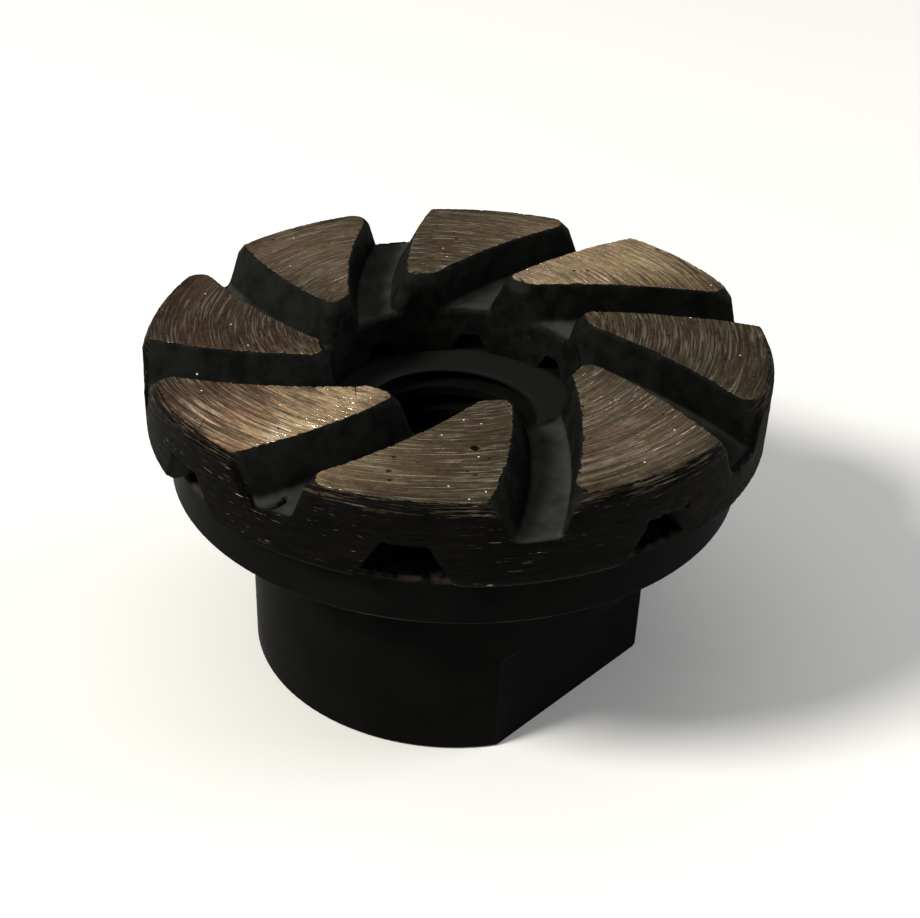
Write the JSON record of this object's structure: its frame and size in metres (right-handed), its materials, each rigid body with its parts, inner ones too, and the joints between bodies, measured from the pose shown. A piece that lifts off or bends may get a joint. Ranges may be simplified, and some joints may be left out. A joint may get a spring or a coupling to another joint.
{
  "type": "concrete grinding wheel",
  "caption": "Small cup wheel for grinding concrete: a diamond ring with swirled segments on a black steel hub with a threaded bore.",
  "frame": {"origin": "middle of the hub's foot, the face that seats on the spindle's shoulder", "axes": "+Z along the bore towards the grinding face, +Y out of one spanner flat"},
  "size_m": [0.0508, 0.0508, 0.0295],
  "materials": {
    "blackened_steel": "smooth satin black, worn to bright steel along the flange's lower edge",
    "diamond_metal": "ground sintered metal with diamond grit, brown grey, with round scratches; near black on the sides"
  },
  "bodies": {
    "root": {"steel_body": "blackened_steel", "diamond_ring": "diamond_metal"}
  },
  "joints": []
}
